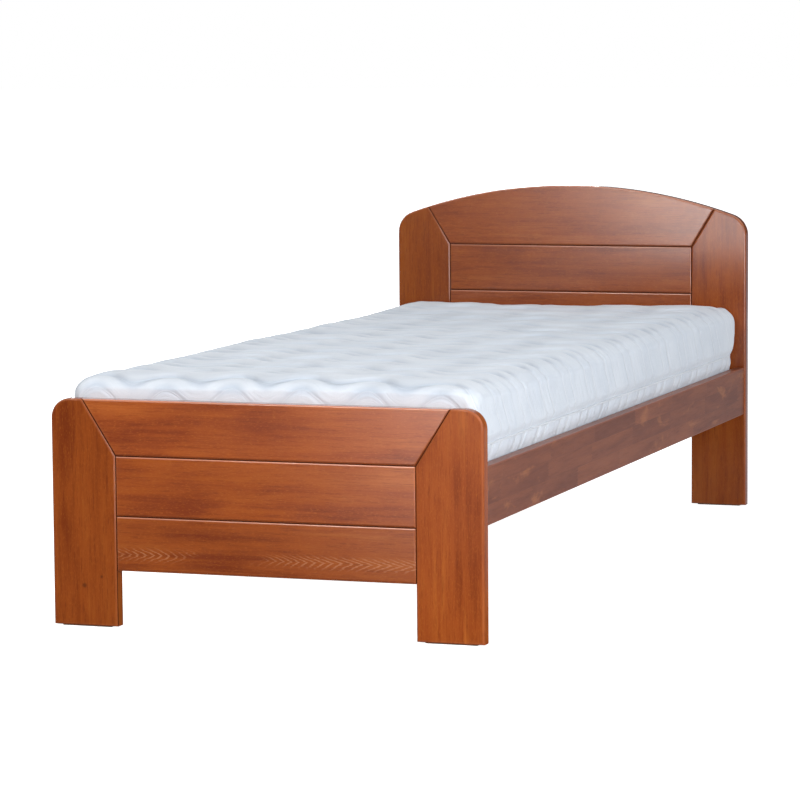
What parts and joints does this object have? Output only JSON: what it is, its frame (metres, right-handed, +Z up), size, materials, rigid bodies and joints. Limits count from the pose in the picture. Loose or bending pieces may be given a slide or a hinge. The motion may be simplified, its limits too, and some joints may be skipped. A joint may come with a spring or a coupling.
{
  "type": "single bed",
  "caption": "Fixed wooden single bed with an arched headboard, low footboard, side rails, roll-out slatted base and a quilted foam mattress.",
  "frame": {"origin": "on the floor under the middle of the bed, at the bottom centre of its box", "axes": "+Z up, +Y along the bed from the footboard to the headboard, +X across the bed"},
  "size_m": [0.8716, 2.068, 0.7634],
  "materials": {
    "stained_beech": "satin",
    "rail_beech": "satin",
    "plain_spruce": "matte",
    "zinc_steel": "satin",
    "felt": "matte",
    "webbing": "matte",
    "quilted_knit": "matte",
    "zip_tape": "matte",
    "foam": "matte"
  },
  "bodies": {
    "frame": {"foot_post_left": "stained_beech", "foot_post_right": "stained_beech", "foot_top_rail": "stained_beech", "foot_plank_1": "stained_beech", "foot_plank_2": "stained_beech", "head_post_left": "stained_beech", "head_post_right": "stained_beech", "head_top_rail": "stained_beech", "head_plank_1": "stained_beech", "head_plank_2": "stained_beech", "head_plank_3": "stained_beech", "head_plank_4": "stained_beech", "side_rail_left": "rail_beech", "side_rail_right": "rail_beech", "slat_cleat_left": "plain_spruce", "slat_cleat_right": "plain_spruce", "hook_plate_foot_left": "zinc_steel", "hook_plate_foot_right": "zinc_steel", "hook_plate_head_left": "zinc_steel", "hook_plate_head_right": "zinc_steel", "socket_plate_foot_left": "zinc_steel", "socket_plate_foot_right": "zinc_steel", "socket_plate_head_left": "zinc_steel", "socket_plate_head_right": "zinc_steel", "cleat_screw_left_1": "zinc_steel", "cleat_screw_left_2": "zinc_steel", "cleat_screw_left_3": "zinc_steel", "cleat_screw_left_4": "zinc_steel", "cleat_screw_left_5": "zinc_steel", "cleat_screw_right_1": "zinc_steel", "cleat_screw_right_2": "zinc_steel", "cleat_screw_right_3": "zinc_steel", "cleat_screw_right_4": "zinc_steel", "cleat_screw_right_5": "zinc_steel", "floor_pad_foot_left": "felt", "floor_pad_foot_right": "felt", "floor_pad_head_left": "felt", "floor_pad_head_right": "felt"},
    "slat_base": {"slat_01": "plain_spruce", "slat_02": "plain_spruce", "slat_03": "plain_spruce", "slat_04": "plain_spruce", "slat_05": "plain_spruce", "slat_06": "plain_spruce", "slat_07": "plain_spruce", "slat_08": "plain_spruce", "slat_09": "plain_spruce", "slat_10": "plain_spruce", "slat_11": "plain_spruce", "slat_12": "plain_spruce", "slat_13": "plain_spruce", "slat_14": "plain_spruce", "slat_strap_left": "webbing", "slat_strap_right": "webbing"},
    "mattress": {"mattress_core": "foam", "mattress_cover_top": "quilted_knit", "mattress_cover_bottom": "quilted_knit", "mattress_zip": "zip_tape"}
  },
  "joints": [
    {"name": "slat_base_lift", "type": "slide", "parent": "frame", "child": "slat_base", "axis": [0, 0, 1], "range_m": [0, 0.6]},
    {"name": "mattress_lift", "type": "slide", "parent": "slat_base", "child": "mattress", "axis": [0, 0, 1], "range_m": [0, 0.6]}
  ]
}
